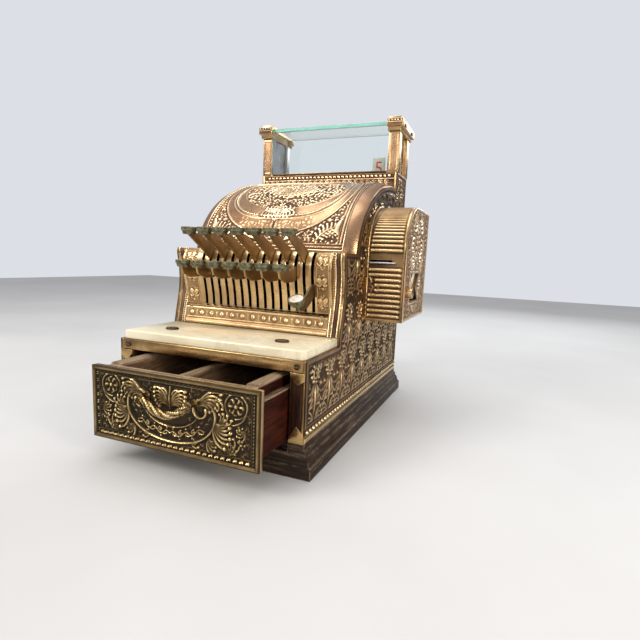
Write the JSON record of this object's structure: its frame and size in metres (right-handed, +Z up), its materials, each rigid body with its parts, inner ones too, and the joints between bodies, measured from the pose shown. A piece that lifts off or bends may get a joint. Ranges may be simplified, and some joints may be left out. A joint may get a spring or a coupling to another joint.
{
  "type": "cash register",
  "caption": "Antique ornate brass cash register: two rows of finger keys, arched lid, glass-topped indicator, side printer, marble shelf and a wooden cash drawer standing part open.",
  "frame": {"origin": "centre of the wooden base's footprint, on the surface that the register stands on", "axes": "+Z up, +Y from the keys towards the back, +X to the right of a person at the keys"},
  "size_m": [0.307, 0.4756, 0.4406],
  "materials": {
    "cast_brass": "ornate casting, worn copper-gold on the raised parts, brown in the hollows",
    "smooth_brass": "satin, rubbed bright on the edges",
    "antique_brass": "dark antique casting, greenish black in the hollows",
    "key_metal": "dull nickelled brass with green tarnish",
    "dark_walnut": "old dark varnish, worn",
    "mahogany": "dark red-brown, edges rubbed pale",
    "ivory_marble": "polished cream marble",
    "clear_glass": "clear plate glass, green at its cut edges",
    "steel": "oiled steel",
    "dark_steel": "blackened screw heads",
    "tablet_enamel": "cream enamel on thin steel",
    "paper": "plain uncoated paper"
  },
  "bodies": {
    "cabinet": {"wood_base": "dark_walnut", "side_panel_left": "cast_brass", "side_panel_right": "cast_brass", "back_panel": "cast_brass", "drawer_posts": "mahogany", "corner_brackets": "smooth_brass", "front_rail": "smooth_brass", "cabinet_screws": "dark_steel", "marble_shelf": "ivory_marble", "shelf_rosettes": "dark_steel", "keybank_front": "cast_brass", "keybank_molding": "cast_brass", "mechanism_deck": "mahogany", "mechanism_frame": "steel", "cross_shafts": "steel", "indicator_sill": "cast_brass", "indicator_frames": "cast_brass", "indicator_caps": "smooth_brass", "indicator_glass": "clear_glass", "lid_hinge_rod": "steel", "printer_case": "smooth_brass", "printer_end_plate": "cast_brass"},
    "lid": {"lid": "cast_brass"},
    "drawer": {"drawer_front": "antique_brass", "drawer_pull": "antique_brass", "drawer_box": "mahogany"},
    "printer_cover": {"printer_cover": "smooth_brass"},
    "printer_knob": {"printer_knob": "smooth_brass"},
    "paper_roll": {"paper_roll": "paper"},
    "adding_wheels": {"counter_wheels": "steel"},
    "key_01": {"key_01": "key_metal"},
    "key_02": {"key_02": "key_metal"},
    "key_03": {"key_03": "key_metal"},
    "key_04": {"key_04": "key_metal"},
    "key_05": {"key_05": "key_metal"},
    "key_06": {"key_06": "key_metal"},
    "key_07": {"key_07": "key_metal"},
    "key_08": {"key_08": "key_metal"},
    "key_09": {"key_09": "key_metal"},
    "key_10": {"key_10": "key_metal"},
    "key_11": {"key_11": "key_metal"},
    "key_12": {"key_12": "key_metal"},
    "key_13": {"key_13": "key_metal"},
    "key_14": {"key_14": "key_metal"},
    "release_key": {"release_key": "key_metal"},
    "tablet_01": {"tablet_01": "tablet_enamel"},
    "tablet_02": {"tablet_02": "tablet_enamel"},
    "tablet_03": {"tablet_03": "tablet_enamel"},
    "tablet_04": {"tablet_04": "tablet_enamel"},
    "tablet_05": {"tablet_05": "tablet_enamel"},
    "tablet_06": {"tablet_06": "tablet_enamel"},
    "tablet_07": {"tablet_07": "tablet_enamel"},
    "tablet_08": {"tablet_08": "tablet_enamel"},
    "tablet_09": {"tablet_09": "tablet_enamel"},
    "tablet_10": {"tablet_10": "tablet_enamel"},
    "tablet_11": {"tablet_11": "tablet_enamel"},
    "tablet_12": {"tablet_12": "tablet_enamel"},
    "tablet_13": {"tablet_13": "tablet_enamel"},
    "tablet_14": {"tablet_14": "tablet_enamel"},
    "tablet_15": {"tablet_15": "tablet_enamel"}
  },
  "joints": [
    {"name": "drawer_slide", "type": "slide", "parent": "cabinet", "child": "drawer", "axis": [0, -1, 0], "range_m": [-0.056, 0.15]},
    {"name": "lid_hinge", "type": "hinge", "parent": "cabinet", "child": "lid", "pos_m": [0, 0.12275, 0.333], "axis": [-1, 0, 0], "range_deg": [0, 75]},
    {"name": "printer_cover_hinge", "type": "hinge", "parent": "cabinet", "child": "printer_cover", "pos_m": [0.144, 0.11995, 0.2905], "axis": [-1, 0, 0], "range_deg": [0, 65]},
    {"name": "printer_knob_turn", "type": "hinge", "parent": "cabinet", "child": "printer_knob", "pos_m": [0.17, -0.00155, 0.182], "axis": [1, 0, 0], "range_deg": [-90, 90]},
    {"name": "paper_roll_spin", "type": "hinge", "parent": "cabinet", "child": "paper_roll", "pos_m": [0.142, 0.04945, 0.205], "axis": [1, 0, 0], "continuous": true},
    {"name": "adding_wheels_spin", "type": "hinge", "parent": "cabinet", "child": "adding_wheels", "pos_m": [0, 0.03945, 0.262], "axis": [1, 0, 0], "continuous": true},
    {"name": "key_01_press", "type": "hinge", "parent": "cabinet", "child": "key_01", "pos_m": [-0.0716, -0.02755, 0.18], "axis": [1, 0, 0], "range_deg": [0, 11.5], "stiffness_Nm_per_rad": 2, "springref_deg": -8.59},
    {"name": "tablet_01_rise", "type": "slide", "parent": "cabinet", "child": "tablet_01", "axis": [0, 0, 1], "range_m": [0, 0.0415]},
    {"name": "key_02_press", "type": "hinge", "parent": "cabinet", "child": "key_02", "pos_m": [-0.06072, -0.02755, 0.18], "axis": [1, 0, 0], "range_deg": [0, 11.5], "stiffness_Nm_per_rad": 2, "springref_deg": -8.59},
    {"name": "tablet_02_rise", "type": "slide", "parent": "cabinet", "child": "tablet_02", "axis": [0, 0, 1], "range_m": [0, 0.0415]},
    {"name": "key_03_press", "type": "hinge", "parent": "cabinet", "child": "key_03", "pos_m": [-0.04984, -0.02755, 0.18], "axis": [1, 0, 0], "range_deg": [0, 11.5], "stiffness_Nm_per_rad": 2, "springref_deg": -8.59},
    {"name": "tablet_03_rise", "type": "slide", "parent": "cabinet", "child": "tablet_03", "axis": [0, 0, 1], "range_m": [0, 0.0415]},
    {"name": "key_04_press", "type": "hinge", "parent": "cabinet", "child": "key_04", "pos_m": [-0.03896, -0.02755, 0.18], "axis": [1, 0, 0], "range_deg": [0, 11.5], "stiffness_Nm_per_rad": 2, "springref_deg": -8.59},
    {"name": "tablet_04_rise", "type": "slide", "parent": "cabinet", "child": "tablet_04", "axis": [0, 0, 1], "range_m": [0, 0.0415]},
    {"name": "key_05_press", "type": "hinge", "parent": "cabinet", "child": "key_05", "pos_m": [-0.02808, -0.02755, 0.18], "axis": [1, 0, 0], "range_deg": [0, 11.5], "stiffness_Nm_per_rad": 2, "springref_deg": -8.59},
    {"name": "tablet_05_rise", "type": "slide", "parent": "cabinet", "child": "tablet_05", "axis": [0, 0, 1], "range_m": [0, 0.0415]},
    {"name": "key_06_press", "type": "hinge", "parent": "cabinet", "child": "key_06", "pos_m": [-0.0172, -0.02755, 0.18], "axis": [1, 0, 0], "range_deg": [0, 11.5], "stiffness_Nm_per_rad": 2, "springref_deg": -8.59},
    {"name": "tablet_06_rise", "type": "slide", "parent": "cabinet", "child": "tablet_06", "axis": [0, 0, 1], "range_m": [0, 0.0415]},
    {"name": "key_07_press", "type": "hinge", "parent": "cabinet", "child": "key_07", "pos_m": [-0.00632, -0.02755, 0.18], "axis": [1, 0, 0], "range_deg": [0, 11.5], "stiffness_Nm_per_rad": 2, "springref_deg": -8.59},
    {"name": "tablet_07_rise", "type": "slide", "parent": "cabinet", "child": "tablet_07", "axis": [0, 0, 1], "range_m": [0, 0.0415]},
    {"name": "key_08_press", "type": "hinge", "parent": "cabinet", "child": "key_08", "pos_m": [0.00456, -0.02755, 0.18], "axis": [1, 0, 0], "range_deg": [0, 11.5], "stiffness_Nm_per_rad": 2, "springref_deg": -8.59},
    {"name": "tablet_08_rise", "type": "slide", "parent": "cabinet", "child": "tablet_08", "axis": [0, 0, 1], "range_m": [0, 0.0415]},
    {"name": "key_09_press", "type": "hinge", "parent": "cabinet", "child": "key_09", "pos_m": [0.01544, -0.02755, 0.18], "axis": [1, 0, 0], "range_deg": [0, 11.5], "stiffness_Nm_per_rad": 2, "springref_deg": -8.59},
    {"name": "tablet_09_rise", "type": "slide", "parent": "cabinet", "child": "tablet_09", "axis": [0, 0, 1], "range_m": [0, 0.0415]},
    {"name": "key_10_press", "type": "hinge", "parent": "cabinet", "child": "key_10", "pos_m": [0.02632, -0.02755, 0.18], "axis": [1, 0, 0], "range_deg": [0, 11.5], "stiffness_Nm_per_rad": 2, "springref_deg": -8.59},
    {"name": "tablet_10_rise", "type": "slide", "parent": "cabinet", "child": "tablet_10", "axis": [0, 0, 1], "range_m": [0, 0.0415]},
    {"name": "key_11_press", "type": "hinge", "parent": "cabinet", "child": "key_11", "pos_m": [0.0372, -0.02755, 0.18], "axis": [1, 0, 0], "range_deg": [0, 11.5], "stiffness_Nm_per_rad": 2, "springref_deg": -8.59},
    {"name": "tablet_11_rise", "type": "slide", "parent": "cabinet", "child": "tablet_11", "axis": [0, 0, 1], "range_m": [0, 0.0415]},
    {"name": "key_12_press", "type": "hinge", "parent": "cabinet", "child": "key_12", "pos_m": [0.04808, -0.02755, 0.18], "axis": [1, 0, 0], "range_deg": [0, 11.5], "stiffness_Nm_per_rad": 2, "springref_deg": -8.59},
    {"name": "tablet_12_rise", "type": "slide", "parent": "cabinet", "child": "tablet_12", "axis": [0, 0, 1], "range_m": [0, 0.0415]},
    {"name": "key_13_press", "type": "hinge", "parent": "cabinet", "child": "key_13", "pos_m": [0.05896, -0.02755, 0.18], "axis": [1, 0, 0], "range_deg": [0, 11.5], "stiffness_Nm_per_rad": 2, "springref_deg": -8.59},
    {"name": "tablet_13_rise", "type": "slide", "parent": "cabinet", "child": "tablet_13", "axis": [0, 0, 1], "range_m": [0, 0.0415]},
    {"name": "key_14_press", "type": "hinge", "parent": "cabinet", "child": "key_14", "pos_m": [0.06984, -0.02755, 0.18], "axis": [1, 0, 0], "range_deg": [0, 11.5], "stiffness_Nm_per_rad": 2, "springref_deg": -8.59},
    {"name": "tablet_14_rise", "type": "slide", "parent": "cabinet", "child": "tablet_14", "axis": [0, 0, 1], "range_m": [0, 0.0415]},
    {"name": "release_key_press", "type": "hinge", "parent": "cabinet", "child": "release_key", "pos_m": [0.08072, -0.02755, 0.18], "axis": [1, 0, 0], "range_deg": [0, 11.5], "stiffness_Nm_per_rad": 2, "springref_deg": -8.59},
    {"name": "tablet_15_rise", "type": "slide", "parent": "cabinet", "child": "tablet_15", "axis": [0, 0, 1], "range_m": [0, 0.0415]}
  ],
  "couplings": [
    {"joint": "tablet_01_rise", "follows": "key_01_press", "m_per_rad": 0.187},
    {"joint": "tablet_02_rise", "follows": "key_02_press", "m_per_rad": 0.201},
    {"joint": "tablet_03_rise", "follows": "key_03_press", "m_per_rad": 0.187},
    {"joint": "tablet_04_rise", "follows": "key_04_press", "m_per_rad": 0.201},
    {"joint": "tablet_05_rise", "follows": "key_05_press", "m_per_rad": 0.187},
    {"joint": "tablet_06_rise", "follows": "key_06_press", "m_per_rad": 0.201},
    {"joint": "tablet_07_rise", "follows": "key_07_press", "m_per_rad": 0.187},
    {"joint": "tablet_08_rise", "follows": "key_08_press", "m_per_rad": 0.201},
    {"joint": "tablet_09_rise", "follows": "key_09_press", "m_per_rad": 0.187},
    {"joint": "tablet_10_rise", "follows": "key_10_press", "m_per_rad": 0.201},
    {"joint": "tablet_11_rise", "follows": "key_11_press", "m_per_rad": 0.187},
    {"joint": "tablet_12_rise", "follows": "key_12_press", "m_per_rad": 0.201},
    {"joint": "tablet_13_rise", "follows": "key_13_press", "m_per_rad": 0.187},
    {"joint": "tablet_14_rise", "follows": "key_14_press", "m_per_rad": 0.201},
    {"joint": "tablet_15_rise", "follows": "release_key_press", "m_per_rad": 0.187}
  ]
}
